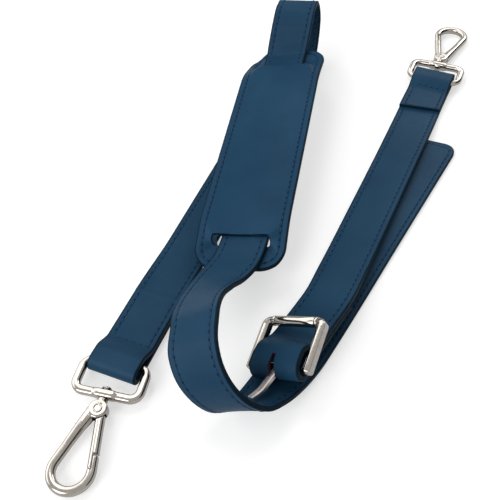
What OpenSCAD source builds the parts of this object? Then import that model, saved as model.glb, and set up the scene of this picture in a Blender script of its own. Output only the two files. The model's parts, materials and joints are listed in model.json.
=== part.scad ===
/* [Straps] */
// Width of both straps
strap_w = 25; // [22:0.5:28]
// Thickness of one leather layer; a strap is two layers sewn together
layer_t = 1.2; // [1:0.05:1.4]
// Length of the long strap's end folded back under itself at its hook
long_fold = 48; // [42:1:54]
// Length of the short strap's end folded back over itself at its hook
short_fold = 36; // [30:1:42]
// Corner radius at the long strap's free end
tip_r = 7; // [3:0.5:10]
// Diameter of the punched holes
hole_d = 4; // [3:0.25:5]
// Number of punched holes
hole_count = 5; // [3:1:5]
// Spacing of the punched holes
hole_pitch = 20; // [16:1:22]
// Distance from the free end to the first punched hole
hole_first = 62; // [54:1:66]

/* [Shoulder pad] */
// Overall length of the pad
pad_l = 176; // [170:1:184]
// Overall width of the pad
pad_w = 48.5; // [44:0.5:54]
// Corner radius of the pad
pad_r = 13; // [8:0.5:16]
// Thickness of the pad's upper leather
pad_face_t = 1.2; // [0.9:0.05:1.5]
// Thickness of the pad's lining leather
pad_lining_t = 1; // [0.8:0.05:1.2]
// Thickness of the foam at the pad's crown
foam_t = 1.8; // [1.2:0.1:2.6]
// Distance between the two slots, centre to centre
slot_gap = 140; // [138:0.5:142]
// Width of a slot along the strap
slot_open = 6.5; // [6:0.25:7.5]
// Length of a slot beyond the strap's width
slot_spare = 7; // [6:0.5:9]

/* [Snap hooks] */
// Wire diameter of the swivel eye
eye_wire = 3.6; // [3.2:0.1:4]
// Inside width of the eye beyond the strap's width
eye_spare = 3; // [2.6:0.1:4]
// Eye length, from the strap's bar to the swivel bar, centre to centre
eye_l = 16.6; // [15.5:0.1:18]
// Diameter of the hook's bar
hook_bar = 4.4; // [4:0.1:4.8]
// Centre-line radius of the hook's bow
bow_r = 8.9; // [8.4:0.1:9.8]
// Distance from the gate's rivet to the centre of the bow
bow_reach = 28.8; // [27:0.2:31]
// Radius of the round cheeks at the gate's rivet
cheek_r = 5.2; // [4.8:0.1:5.6]
// Diameter of the gate's rivet
rivet_d = 2.2; // [1.8:0.1:2.4]
// Diameter of the swivel post
post_d = 3; // [2.6:0.1:3.2]

/* [Buckle] */
// Inside width of the frame beyond the strap's width
frame_spare = 2.8; // [2.4:0.1:4]
// Distance from the heel pin to the roller
frame_l = 23; // [21:0.5:25]
// Width of a side bar
side_bar = 4.2; // [3.6:0.1:4.8]
// Diameter of the heel pin
heel_d = 3; // [2.6:0.1:3.4]
// Outside diameter of the roller
roller_d = 5; // [4.6:0.1:5.6]
// Length of the prong from the heel pin
prong_l = 20; // [18:0.5:22]
// Width of the prong
prong_w = 3; // [2.6:0.1:3.4]

/* [Hidden] */
$fn = 48;
// Layout point that becomes the middle of the part's underside
middle = [34, 30, 0];
strap_t = 2 * layer_t;
seam = 0.02;
fit = 0.3;
run_fit = 0.06;
stack = strap_t + 0.1;
bend_step = 7;

fold_r = eye_wire / 2 + 0.4 + layer_t;
fold_slack = 2.6;
fold_flat = 5;
fold_close = 16;
lay_heading = 65;
fold_a = [-67, -70];
lay_l = 232;
eye_heading_a = 253;
eye_pitch = 1.6;
fold_b = [128, 132.5];
end_heading = 62;
eye_heading_b = 65;

pad_mid = [12.4, 62.5, 19.7];
pad_heading = 76;
pad_rise = 2.8;
pad_roll = 9;
pad_shift = 0.6;
pad_dir = aim(pad_heading, pad_rise);
straight_up = 80;
straight_down = 86;
straight_end = 4;
slot_aside = 2.6;
fold_slope = 36;

tail_tip = [117, 72.5];
tail_heading = 55.5;
tail_run = 157;

heel = [9.5, -80.8, 13.9];
heel_heading = 65;
heel_roll = 24;
heel_r = 3.5 + layer_t;
heel_flat = 6;
frame_heading = 66;
frame_rise = 10;
frame_roll = 30;
frame_shift = 0.2;
prong_skew = 14;
prong_turn = 170;

boss_w = 9.5;
boss_d = eye_wire + 1.8;
boss_t = eye_wire + 1;
head_t = 5.4;
fork_t = 3.2;
tongue_t = 1.1;
fork_lead = 22;
tongue_r = 2.9;
neck_d = 5;
post_head_d = 5;
post_head_t = 1.4;
rivet_head_d = 3.8;
rivet_head_t = 0.5;
rivet_x = eye_l + 8;
neck_x = eye_l + boss_t / 2 + 0.1;
post_x = rivet_x - tongue_r - fit - 0.2;
bow_x = rivet_x + bow_reach;
bow_y = -1.2;
arm_lean = 15;
gate_lean = 12.5;
gate_w = hook_bar;
lap_l = 6.5;
lap_gap = 0.3;
nose_d = hook_bar + 0.2;
nose_root = 0.5;
spring_wire = 0.35;
spring_r = 1.85;
spring_pitch = 0.85;
spring_turns = 1.4;

eye_in = strap_w + eye_spare;
eye_y = (eye_in + eye_wire) / 2;
eye_corner = 4.5;
frame_y = (strap_w + frame_spare + side_bar) / 2;
side_h = 3.4;
side_ridge = 1.2;
side_back = 2.6;
top_bar_d = roller_d - 1.8;
roller_l = 2 * frame_y - side_bar - 1.6;
prong_slot = prong_w + 3;
prong_slot_y = heel_r * tan(prong_skew) - frame_shift;
prong_eye_d = heel_d + 2;
prong_t = 2;

function unit(v) = v / norm(v);
function aim(heading, rise) = [cos(rise) * cos(heading), cos(rise) * sin(heading), sin(rise)];
function place(p) = [p[0], p[1], p[2]];
function plan(p, heading, d) = [p[0] + d * cos(heading), p[1] + d * sin(heading)];
function ease(x) = x <= 0 ? 0 : x >= 1 ? 1 : x * x * (3 - 2 * x);

// A route is a list of [x, y, z, heading of the strap's right side, tilt of that side]
function chord(r, i) = norm(place(r[i + 1]) - place(r[i]));
function slope_in(r, i) = (r[i] - r[i - 1]) / chord(r, i - 1);
function slope_out(r, i) = (r[i + 1] - r[i]) / chord(r, i);
function slope_mid(r, i, a, b) = (slope_in(r, i) * b + slope_out(r, i) * a) / (a + b);
// Keeps the height from swinging past a high, low or level point
function no_swing(m, a, b) = a * b > 0.000001 ? m : [m[0], m[1], 0, m[3], m[4]];
function slope(r, i) =
    i == 0 ? slope_out(r, 0) :
    i == len(r) - 1 ? slope_in(r, i) :
    no_swing(slope_mid(r, i, chord(r, i - 1), chord(r, i)), slope_in(r, i)[2], slope_out(r, i)[2]);
function turn(a, b) = acos(min(1, unit(place(a)) * unit(place(b))));
function side_of(p) = aim(p[3], p[4]);
function bend(r, i) = turn(slope(r, i), slope(r, i + 1)) + turn(side_of(r[i]), side_of(r[i + 1])) / 2;
function ease_curve(a, b, ma, mb, h, t) =
    (2 * t * t * t - 3 * t * t + 1) * a + (t * t * t - 2 * t * t + t) * h * ma
    + (3 * t * t - 2 * t * t * t) * b + (t * t * t - t * t) * h * mb;
function span(r, i, n) =
    [for (k = [0:n - 1]) ease_curve(r[i], r[i + 1], slope(r, i), slope(r, i + 1), chord(r, i), k / n)];
function smooth(r) = concat(
    [for (i = [0:len(r) - 2]) each span(r, i, max(1, ceil(bend(r, i) / bend_step)))],
    [r[len(r) - 1]]);

// One ring of the strap's section at station i, from offset lo to offset hi off the middle plane
function way(s, i) = unit(place(s[min(i + 1, len(s) - 1)]) - place(s[max(i - 1, 0)]));
function square_to(b, t) = unit(b - (b * t) * t);
function ring(s, i, half, lo, hi) =
    let (t = way(s, i), b = square_to(side_of(s[i]), t), n = cross(t, b), c = place(s[i]))
    [c - b * half + n * lo, c + b * half + n * lo, c + b * half + n * hi, c - b * half + n * hi];
function wall(a, k) = let (b = (k + 1) % 4) k == 2
    ? [[a + k, a + 4 + k, a + b], [a + 4 + k, a + 4 + b, a + b]]
    : [[a + k, a + 4 + k, a + 4 + b], [a + k, a + 4 + b, a + b]];
module ribbon(s, halves, lo, hi) {
    last = 4 * (len(s) - 1);
    polyhedron(
        points = [for (i = [0:len(s) - 1]) each ring(s, i, halves[i], lo, hi)],
        faces = concat(
            [[0, 1, 2, 3], [last + 3, last + 2, last + 1, last]],
            [for (i = [0:len(s) - 2]) for (k = [0:3]) each wall(4 * i, k)]));
}

// A fold round a bar at o: half a turn from the lower side to the upper side
function half_turn(o, ahead, up, r, side, tilt) = [for (q = [0:30:180])
    let (p = o - ahead * r * sin(q) - up * r * cos(q)) [p[0], p[1], p[2], side, tilt]];
function with_side(p, side, tilt) = [p[0], p[1], p[2], side, tilt];
function level(p, z, side) = [p[0], p[1], z, side, 0];

flat_z = strap_t / 2;
fold_z = flat_z + fold_r;
lay_side = lay_heading - 90;
lay_dir = aim(lay_heading, 0);
end_side = end_heading - 90;
end_dir = aim(end_heading, 0);
pad_side = pad_heading - 90;
tail_side = tail_heading - 90;

// Sewn-back end, turn round the hook's bar and the run that lies on the table
long_start = concat(
    [level(plan(fold_a, lay_heading, long_fold - fold_r), flat_z, lay_side)],
    [level(plan(fold_a, lay_heading, fold_flat), flat_z, lay_side)],
    half_turn([fold_a[0], fold_a[1], fold_z], lay_dir, [0, 0, 1], fold_r, lay_side, 0),
    [level(plan(fold_a, lay_heading, fold_flat), fold_z + fold_r, lay_side)],
    [level(plan(fold_a, lay_heading, fold_close), flat_z + stack, lay_side)],
    [level(plan(fold_a, lay_heading, long_fold - 4), flat_z + stack, lay_side)],
    [level(plan(fold_a, lay_heading, long_fold + fold_slope), flat_z, lay_side)],
    [level(plan(fold_a, lay_heading, lay_l - 60), flat_z, lay_side)],
    [level(plan(fold_a, lay_heading, lay_l), flat_z, lay_side)]);
// Curl at the top, down to the pad's upper slot
top_curl = [
    [37, 153, 2.4, -25, 2],
    [42, 164.5, 7, -25, 5],
    [45, 174, 16, -24, 5],
    [46, 178, 27, -20, 4],
    [44.6, 175.4, 37.5, -17, 4],
    [42, 168, 43.5, -16, 3],
    [39.5, 160.5, 43, -16, 1],
    [37.3, 154.5, 38.5, -15, 0],
    [35.2, 149.5, 32.5, -15, 1],
    [33.3, 144.8, 27, -14, 4]];
// Straight stretch behind the pad
behind_pad = [for (d = [straight_up, straight_up - straight_end, straight_end - straight_down, -straight_down])
    with_side(pad_mid + d * pad_dir + (d < 0 ? slot_aside : 0) * aim(pad_side, pad_roll), pad_side, pad_roll)];
// Curl at the bottom, down to the table
low_curl = [
    [-10.3, -32.1, 18, -14, 10],
    [-16.2, -43.8, 24.5, -10, 19],
    [-22.5, -55.5, 31.5, -6, 26],
    [-26.3, -68.5, 36.3, -4, 29],
    [-27, -83, 36, -4, 30],
    [-24.5, -92.5, 31.5, -7, 35],
    [-19.3, -98.5, 24, -13, 39],
    [-12.4, -100.5, 16, -20, 39],
    [-5, -97.5, 9.6, -29, 33],
    [2, -90.5, 6.2, -34, 22],
    [9, -82.5, 4, -36, 12],
    [18, -71.2, 2.1, -35, 3]];
// Free end lying on the table under the short strap
tail_lay = [for (d = [tail_run, tail_run / 2, tip_r])
    level(plan(tail_tip, tail_heading, -d), flat_z, tail_side)];
tip_turns = [for (q = [15:15:90]) q];
tip_rings = [for (q = tip_turns)
    level(plan(tail_tip, tail_heading, tip_r * (sin(q) - 1)), flat_z, tail_side)];
long_body = smooth(concat(long_start, top_curl, behind_pad, low_curl, tail_lay));
long_route = concat(long_body, tip_rings);
long_half = concat([for (p = long_body) strap_w / 2],
    [for (q = tip_turns) strap_w / 2 - tip_r * (1 - cos(q))]);

// Short strap: sewn-back end under the buckle, turn round the heel pin, run to its hook
heel_dir = aim(heel_heading, 0);
heel_side = heel_heading - 90;
heel_up = cross(aim(heel_side, heel_roll), heel_dir);
run_up = [
    [18.5, -66, 4.8 * strap_t, -30, 15],
    [28, -53, 4 * strap_t, -31, 15],
    [36.5, -41.5, 3.85 * strap_t, -29, 14]];
run_out = [
    [46, -23.5, 2.6 * strap_t, -28, 11],
    [68, 17.8, 1.95 * strap_t, -28, 9],
    [94, 66.5, 1.85 * strap_t, -28, 7],
    [106, 90, 1.1 * strap_t, -28, 3]];
function below(p, d) = with_side(place(p) - d * unit(cross(side_of(p), aim(p[3] + 90, 0))), p[3], p[4]);
short_start = concat(
    [below(run_up[2], stack), below(run_up[1], stack), below(run_up[0], stack + 1)],
    [with_side(heel - heel_up * heel_r + heel_dir * heel_flat, heel_side, heel_roll)],
    half_turn(heel, heel_dir, heel_up, heel_r, heel_side, heel_roll),
    [with_side(heel + heel_up * heel_r + heel_dir * heel_flat, heel_side, heel_roll)]);
short_end = concat(
    [level(plan(fold_b, end_heading, 8 - short_fold), flat_z, end_side)],
    [level(plan(fold_b, end_heading, -fold_flat), flat_z, end_side)],
    half_turn([fold_b[0], fold_b[1], fold_z], -end_dir, [0, 0, 1], fold_r, end_side, 0),
    [level(plan(fold_b, end_heading, -fold_flat), fold_z + fold_r, end_side)],
    [level(plan(fold_b, end_heading, -fold_close), flat_z + stack, end_side)],
    [level(plan(fold_b, end_heading, fold_r - short_fold), flat_z + stack, end_side)]);
short_route = smooth(concat(short_start, run_up, run_out, short_end));
short_half = [for (p = short_route) strap_w / 2];

module at_tail_holes() {
    for (i = [0:hole_count - 1])
        translate(concat(plan(tail_tip, tail_heading, -hole_first - i * hole_pitch), [flat_z]))
            children();
}
module at_heel() {
    translate(heel)
        rotate([-heel_roll, 0, heel_heading])
            children();
}
// Slot that lets the prong pass the turn of leather
module prong_way() {
    at_heel()
        translate([-heel_r - strap_t, prong_slot_y - prong_slot / 2, -heel_r - strap_t])
            cube([heel_r + strap_t + heel_flat + 3, prong_slot, 2 * (heel_r + strap_t)]);
}
module long_strap_face() {
    color("#27475f")
        translate(-middle)
            difference() {
                ribbon(long_route, long_half, seam, layer_t);
                at_tail_holes()
                    cylinder(d = hole_d, h = 2 * strap_t, center = true);
            }
}
module long_strap_back() {
    color("#21405a")
        translate(-middle)
            difference() {
                ribbon(long_route, long_half, -layer_t, 0);
                at_tail_holes()
                    cylinder(d = hole_d, h = 2 * strap_t, center = true);
            }
}
module short_strap_face() {
    color("#27475f")
        translate(-middle)
            difference() {
                ribbon(short_route, short_half, seam, layer_t);
                prong_way();
            }
}
module short_strap_back() {
    color("#21405a")
        translate(-middle)
            difference() {
                ribbon(short_route, short_half, -layer_t, 0);
                prong_way();
            }
}

// Pad surfaces over the strap's middle plane; x runs along the strap, y across it
slot_x = slot_gap / 2;
slot_l = strap_w + slot_spare;
pad_edge_t = pad_lining_t + seam + pad_face_t;
panel_z = layer_t + fit;
flap_z = -layer_t - fit - pad_edge_t;
ramp_l = slot_open - 1.5;
foam_end = 7;
foam_fade = 12;
foam_side = 6.5;
foam_roll = 8;
function pad_half(x) = let (d = max(0, abs(x) - (pad_l / 2 - pad_r)))
    pad_w / 2 - pad_r + sqrt(max(0, pad_r * pad_r - d * d));
function pad_base(x) = panel_z + (flap_z - panel_z) * ease((abs(x) - slot_x + ramp_l / 2) / ramp_l);
function crown(x, y) = foam_t * ease((slot_x - foam_end - abs(x)) / foam_fade)
    * ease((pad_half(x) - foam_side - abs(y)) / foam_roll);
half_xs = concat(
    [0, 0.25 * slot_x, 0.5 * slot_x],
    [for (k = [0:4]) slot_x - foam_end - foam_fade * (1 - k / 4)],
    [for (k = [0:5]) slot_x + ramp_l * (k / 5 - 0.5)],
    [for (q = [0:15:90]) pad_l / 2 - pad_r * (1 - sin(q))]);
pad_xs = concat(
    [for (i = [len(half_xs) - 1:-1:1]) -half_xs[i]],
    half_xs);
pad_ys = [-1, -0.82, -0.66, -0.5, -0.3, 0, 0.3, 0.5, 0.66, 0.82, 1];
foam_x = slot_x - foam_end - 0.3 * foam_fade;
foam_xs = [for (k = [-1, -0.93, -0.85, -0.5, 0, 0.5, 0.85, 0.93, 1]) k * foam_x];
foam_y = pad_w / 2 - foam_side - 0.3 * foam_roll;
foam_ys = [for (k = [-1, -0.85, -0.7, -0.35, 0, 0.35, 0.7, 0.85, 1]) k * foam_y];

// Closed sheet between two grids of points with the same layout
module sheet(low, high) {
    rows = len(low);
    cols = len(low[0]);
    top = rows * cols;
    rim = concat(
        [for (j = [0:cols - 2]) [j, j + 1]],
        [for (i = [0:rows - 2]) [i * cols + cols - 1, (i + 1) * cols + cols - 1]],
        [for (j = [cols - 1:-1:1]) [(rows - 1) * cols + j, (rows - 1) * cols + j - 1]],
        [for (i = [rows - 1:-1:1]) [i * cols, (i - 1) * cols]]);
    polyhedron(
        points = concat([for (r = low) each r], [for (r = high) each r]),
        faces = concat(
            [for (i = [0:rows - 2]) for (j = [0:cols - 2]) let (a = i * cols + j)
                each [[a, a + cols + 1, a + 1], [a, a + cols, a + cols + 1]]],
            [for (i = [0:rows - 2]) for (j = [0:cols - 2]) let (a = top + i * cols + j)
                each [[a, a + 1, a + cols + 1], [a, a + cols + 1, a + cols]]],
            [for (e = rim) each [[e[0], e[1] + top, e[0] + top], [e[0], e[1], e[1] + top]]]));
}
module at_pad() {
    translate(pad_mid - middle)
        rotate([-pad_roll, -pad_rise, pad_heading])
            translate([0, -pad_shift, 0])
                children();
}
module slot_cut() {
    for (side = [-1, 1])
        translate([side * slot_x, 0, -10])
            linear_extrude(20) {
                square([slot_open, slot_l - slot_open], center = true);
                for (end = [-1, 1])
                    translate([0, end * (slot_l - slot_open) / 2])
                        circle(d = slot_open);
            }
}
function pad_grid(lift, swell) = [for (x = pad_xs) [for (k = pad_ys)
    let (y = k * pad_half(x)) [x, y, pad_base(x) + lift + swell * crown(x, y)]]];
module pad_lining() {
    color("#1d3850")
        at_pad()
            difference() {
                sheet(pad_grid(0, 0), pad_grid(pad_lining_t, 0));
                slot_cut();
            }
}
module pad_face() {
    color("#2b4d67")
        at_pad()
            difference() {
                sheet(pad_grid(pad_lining_t + seam, 1), pad_grid(pad_edge_t, 1));
                slot_cut();
            }
}
module pad_foam() {
    color("#8a8f92")
        at_pad()
            sheet(
                [for (x = foam_xs) [for (y = foam_ys) [x, y, panel_z + pad_lining_t + seam / 2]]],
                [for (x = foam_xs) [for (y = foam_ys)
                    [x, y, panel_z + pad_lining_t + seam / 2 + 0.75 * crown(x, y)]]]);
}

// Hook parts: x runs from the strap's bar out to the bow, y to the gate's side
module at_hook_a() {
    translate(concat(plan(fold_a, lay_heading, fold_slack), [fold_z]) - middle)
        rotate([0, eye_pitch, eye_heading_a])
            children();
}
module at_hook_b() {
    translate(concat(plan(fold_b, end_heading, -fold_slack), [fold_z]) - middle)
        rotate([0, eye_pitch, eye_heading_b])
            children();
}
module bar_x(d, a, b) {
    translate([a, 0, 0])
        rotate([0, 90, 0])
            cylinder(d = d, h = b - a);
}
module bar_y(d, w) {
    rotate([90, 0, 0])
        cylinder(d = d, h = w, center = true);
}
module eye() {
    difference() {
        union() {
            bar_y(eye_wire, 2 * (eye_y - eye_corner));
            translate([eye_l, 0, 0])
                bar_y(eye_wire, 2 * (eye_y - eye_corner));
            for (side = [-1, 1])
                translate([0, side * eye_y, 0])
                    bar_x(eye_wire, eye_corner, eye_l - eye_corner);
            for (side = [0, 1]) mirror([0, side, 0]) {
                translate([eye_l - eye_corner, eye_y - eye_corner, 0])
                    rotate_extrude(angle = 90)
                        translate([eye_corner, 0])
                            circle(d = eye_wire);
                translate([eye_corner, eye_y - eye_corner, 0])
                    rotate([0, 0, 90])
                        rotate_extrude(angle = 90)
                            translate([eye_corner, 0])
                                circle(d = eye_wire);
            }
            intersection() {
                translate([eye_l, 0, 0])
                    bar_y(boss_d, boss_w);
                translate([eye_l - boss_t / 2, -boss_w, -boss_d])
                    cube([boss_t, 2 * boss_w, 2 * boss_d]);
            }
        }
        bar_x(post_d + 2 * run_fit, eye_l - boss_d, eye_l + boss_d);
    }
}
// Post riveted over inside the eye, turning in the boss and fixed in the hook's neck
module swivel_post() {
    head_x = eye_l - boss_t / 2 - 0.1;
    bar_x(post_d, head_x - post_head_t / 2, post_x);
    translate([head_x, 0, 0])
        rotate([0, -90, 0])
            rotate_extrude()
                intersection() {
                    square([post_head_d / 2, post_head_t]);
                    translate([0, post_head_t - post_head_d])
                        circle(r = post_head_d);
                }
}
// Straight bar tangent to the bow; the side is -1 for the arm, 1 for the nose
module tangent_bar(side, lean, from, to, d) {
    translate([bow_x, bow_y, 0])
        rotate([0, 0, side * lean])
            translate([0, side * bow_r, 0])
                bar_x(d, from, to);
}
arm_l = bow_reach - 1.5;
// Half space on the outer side of the gate's line, over the lap
module lap_side(shift, from, to, out) {
    translate([bow_x, bow_y, 0])
        rotate([0, 0, gate_lean])
            translate([from, bow_r + shift + (out ? 0 : -hook_bar), -hook_bar])
                cube([to - from, hook_bar, 2 * hook_bar]);
}
module hook_body() {
    difference() {
        union() {
            translate([bow_x, bow_y, 0])
                rotate([0, 0, -90 - arm_lean])
                    rotate_extrude(angle = 180 + arm_lean + gate_lean)
                        translate([bow_r, 0])
                            circle(d = hook_bar);
            tangent_bar(-1, arm_lean, -arm_l, 0, hook_bar);
            tangent_bar(1, gate_lean, -lap_l, nose_root, nose_d);
            translate([rivet_x, 0, -head_t / 2])
                cylinder(r = cheek_r, h = head_t);
            bar_x(neck_d, neck_x, rivet_x - cheek_r / 2);
        }
        lap_side(lap_gap / 2, -lap_l - 1, 0, false);
        translate([rivet_x, 0, -fork_t / 2])
            linear_extrude(fork_t) {
                circle(r = tongue_r + fit);
                rotate(gate_lean - fork_lead)
                    square(2 * cheek_r);
            }
        translate([rivet_x, 0, -head_t])
            cylinder(d = rivet_d, h = 2 * head_t);
        bar_x(post_d, 0, post_x);
    }
}
module gate_rivet() {
    translate([rivet_x, 0, 0]) {
        cylinder(d = rivet_d, h = head_t + rivet_head_t, center = true);
        for (side = [0, 1]) mirror([0, 0, side])
            translate([0, 0, head_t / 2])
                cylinder(d1 = rivet_head_d, d2 = rivet_head_d - 0.8, h = rivet_head_t);
    }
}
module gate() {
    difference() {
        union() {
            difference() {
                tangent_bar(1, gate_lean, -bow_reach + 4, -lap_gap, gate_w);
                lap_side(-lap_gap / 2, -lap_l - lap_gap, 1, true);
                translate([rivet_x, 0, -head_t])
                    cylinder(r = cheek_r + fit, h = 2 * head_t);
            }
            translate([rivet_x, 0, -fork_t / 2 + 0.1])
                cylinder(r = tongue_r, h = tongue_t);
            translate([rivet_x, 0, -fork_t / 2 + 0.1])
                rotate([0, 0, gate_lean])
                    translate([1.5, 0.2, 0])
                        cube([cheek_r + 1, 3, tongue_t]);
        }
        translate([rivet_x, 0, -head_t])
            cylinder(d = rivet_d + 2 * run_fit, h = 2 * head_t);
    }
}
// Torsion spring: one tube wound round the rivet beside the gate's tongue
spring_sides = 6;
spring_steps = 28;
spring_z = -fork_t / 2 + 0.1 + tongue_t + 0.15 + spring_wire / 2;
function coil(i) = let (q = 360 * spring_turns * i / spring_steps)
    [spring_r * cos(q), spring_r * sin(q), spring_z + spring_pitch * q / 360];
function coil_ring(i) = let (q = 360 * spring_turns * i / spring_steps)
    [for (k = [0:spring_sides - 1]) let (w = 360 * k / spring_sides)
        coil(i) + spring_wire / 2 * [cos(w) * cos(q), cos(w) * sin(q), sin(w)]];
module gate_spring() {
    last = spring_sides * spring_steps;
    translate([rivet_x, 0, 0])
        polyhedron(
            points = [for (i = [0:spring_steps]) each coil_ring(i)],
            faces = concat(
                [[for (k = [0:spring_sides - 1]) k]],
                [[for (k = [spring_sides - 1:-1:0]) last + k]],
                [for (i = [0:spring_steps - 1]) for (k = [0:spring_sides - 1])
                    let (a = i * spring_sides + k, b = i * spring_sides + (k + 1) % spring_sides)
                    each [[a, a + spring_sides, b + spring_sides], [a, b + spring_sides, b]]]));
}
module eye_a() { color("#c9c6c0") at_hook_a() eye(); }
module swivel_post_a() { color("#bdbab4") at_hook_a() swivel_post(); }
module hook_a() { color("#cfccc6") at_hook_a() hook_body(); }
module gate_a() { color("#c4c1bb") at_hook_a() gate(); }
module gate_rivet_a() { color("#b3b0aa") at_hook_a() gate_rivet(); }
module gate_spring_a() { color("#8f8d88") at_hook_a() gate_spring(); }
module eye_b() { color("#c9c6c0") at_hook_b() eye(); }
module swivel_post_b() { color("#bdbab4") at_hook_b() swivel_post(); }
module hook_b() { color("#cfccc6") at_hook_b() hook_body(); }
module gate_b() { color("#c4c1bb") at_hook_b() gate(); }
module gate_rivet_b() { color("#b3b0aa") at_hook_b() gate_rivet(); }
module gate_spring_b() { color("#8f8d88") at_hook_b() gate_spring(); }

// Buckle parts: x runs from the heel pin to the roller, y along the heel pin
module at_frame() {
    translate(heel - middle)
        rotate([-frame_roll, -frame_rise, frame_heading])
            translate([0, -frame_shift, 0])
                children();
}
module side_bar_x(from, to) {
    translate([from, 0, 0])
        rotate([90, 0, 90])
            linear_extrude(to - from)
                polygon([
                    [-side_bar / 2, -side_h / 2],
                    [side_bar / 2, -side_h / 2],
                    [side_bar / 2, side_h / 2],
                    [0, side_h / 2 + side_ridge],
                    [-side_bar / 2, side_h / 2]]);
}
module buckle_frame() {
    color("#cfccc6")
        at_frame()
            difference() {
                union() {
                    for (side = [0, 1]) mirror([0, side, 0])
                        translate([0, frame_y, 0])
                            intersection() {
                                side_bar_x(-side_back, frame_l + side_bar / 2);
                                union() {
                                    translate([-side_back, -side_bar / 2, -side_bar])
                                        cube([frame_l + side_back, side_bar, 3 * side_bar]);
                                    translate([frame_l, 0, -side_bar])
                                        cylinder(d = side_bar, h = 3 * side_bar);
                                }
                            }
                    translate([frame_l, 0, 0])
                        bar_y(top_bar_d, 2 * frame_y);
                }
                bar_y(heel_d, 3 * frame_y);
            }
}
module buckle_heel_pin() {
    color("#b3b0aa")
        at_frame()
            bar_y(heel_d, 2 * frame_y + side_bar - 0.6);
}
module buckle_roller() {
    color("#d6d3cd")
        at_frame()
            translate([frame_l, 0, 0])
                difference() {
                    bar_y(roller_d, roller_l);
                    bar_y(top_bar_d + 2 * run_fit, roller_l + 1);
                }
}
module buckle_prong() {
    color("#c4c1bb")
        at_frame()
            rotate([0, -prong_turn, 0])
                difference() {
                    union() {
                        bar_y(prong_eye_d, prong_w);
                        rotate([0, 0, prong_skew])
                            translate([0, prong_w / 2, 0])
                                rotate([90, 0, 0])
                                    linear_extrude(prong_w)
                                        polygon([
                                            [1, -prong_t / 2],
                                            [prong_l - 6, -prong_t / 2],
                                            [prong_l, -prong_t / 2 - 2],
                                            [prong_l, -2],
                                            [prong_l - 6.5, prong_t / 2],
                                            [1, prong_t / 2]]);
                    }
                    bar_y(heel_d + 2 * run_fit, 3 * prong_w);
                }
}

long_strap_face();
long_strap_back();
short_strap_face();
short_strap_back();
pad_face();
pad_foam();
pad_lining();
eye_a();
swivel_post_a();
hook_a();
gate_a();
gate_rivet_a();
gate_spring_a();
eye_b();
swivel_post_b();
hook_b();
gate_b();
gate_rivet_b();
gate_spring_b();
buckle_frame();
buckle_heel_pin();
buckle_roller();
buckle_prong();
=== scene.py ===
import json
import math
import bmesh
import bpy
import numpy as np
from mathutils import Matrix, Vector

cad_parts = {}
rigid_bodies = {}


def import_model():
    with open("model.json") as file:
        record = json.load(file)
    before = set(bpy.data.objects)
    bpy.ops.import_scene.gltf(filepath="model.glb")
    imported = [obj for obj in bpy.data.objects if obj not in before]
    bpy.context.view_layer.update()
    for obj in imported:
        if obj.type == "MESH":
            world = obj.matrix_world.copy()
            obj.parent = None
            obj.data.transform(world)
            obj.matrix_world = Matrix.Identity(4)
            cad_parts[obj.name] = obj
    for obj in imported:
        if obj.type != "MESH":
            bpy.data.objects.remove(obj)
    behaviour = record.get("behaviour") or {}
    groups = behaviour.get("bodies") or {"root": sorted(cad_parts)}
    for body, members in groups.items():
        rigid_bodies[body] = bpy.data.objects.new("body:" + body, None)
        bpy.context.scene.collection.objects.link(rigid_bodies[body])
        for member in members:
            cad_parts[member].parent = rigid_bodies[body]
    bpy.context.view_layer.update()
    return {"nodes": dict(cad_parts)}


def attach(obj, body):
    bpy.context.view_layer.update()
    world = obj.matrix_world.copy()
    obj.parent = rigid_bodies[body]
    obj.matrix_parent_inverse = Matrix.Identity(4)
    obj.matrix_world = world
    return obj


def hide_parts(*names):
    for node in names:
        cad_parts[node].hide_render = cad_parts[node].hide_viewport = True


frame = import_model()
scene = bpy.context.scene
scene.view_settings.view_transform = "Standard"
mm = 0.001
middle = np.array([34.0, 30.0, 0.0])  # layout point that lies under the part's middle
print("frame loaded:", len(frame["nodes"]), "nodes")


# small helpers for vectors and meshes
def unit(v):
    return v / np.maximum(np.linalg.norm(v, axis=-1, keepdims=True), 1e-12)


def aim(heading, rise=0.0):
    h, e = np.radians(heading), np.radians(rise)
    return np.stack([np.cos(e) * np.cos(h), np.cos(e) * np.sin(h), np.sin(e) + 0 * h], axis=-1)


def turned(points, degrees):  # turned about z
    c, s = math.cos(math.radians(degrees)), math.sin(math.radians(degrees))
    return np.asarray(points, float) @ np.array([[c, s, 0], [-s, c, 0], [0, 0, 1]])


def walkedAlong(points):  # distance walked along a path at each of its points
    return np.concatenate([[0], np.cumsum(np.linalg.norm(np.diff(points, axis=0), axis=1))])


def ease(x):
    x = np.clip(x, 0, 1)
    return x * x * (3 - 2 * x)


def mirrored(profile):  # a profile and the same profile on the other side of zero
    return profile + [(-along, radius) for along, radius in profile[::-1]]


def placed(origin, turns):  # turned about x, then y, then z, then moved
    rx, ry, rz = (Matrix.Rotation(math.radians(a), 4, k) for a, k in zip(turns, "XYZ"))
    return Matrix.Translation(Vector(origin)) @ rz @ ry @ rx


def newPiece(name, verts, faces, material=None, crease=40):
    mesh = bpy.data.meshes.new(name)
    mesh.from_pydata([tuple(v) for v in np.asarray(verts, float)], [], [tuple(int(i) for i in f) for f in faces])
    obj = bpy.data.objects.new(name, mesh)
    scene.collection.objects.link(obj)
    tidyNormals(obj, crease)
    if material:
        mesh.materials.append(material)
    return obj


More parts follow.
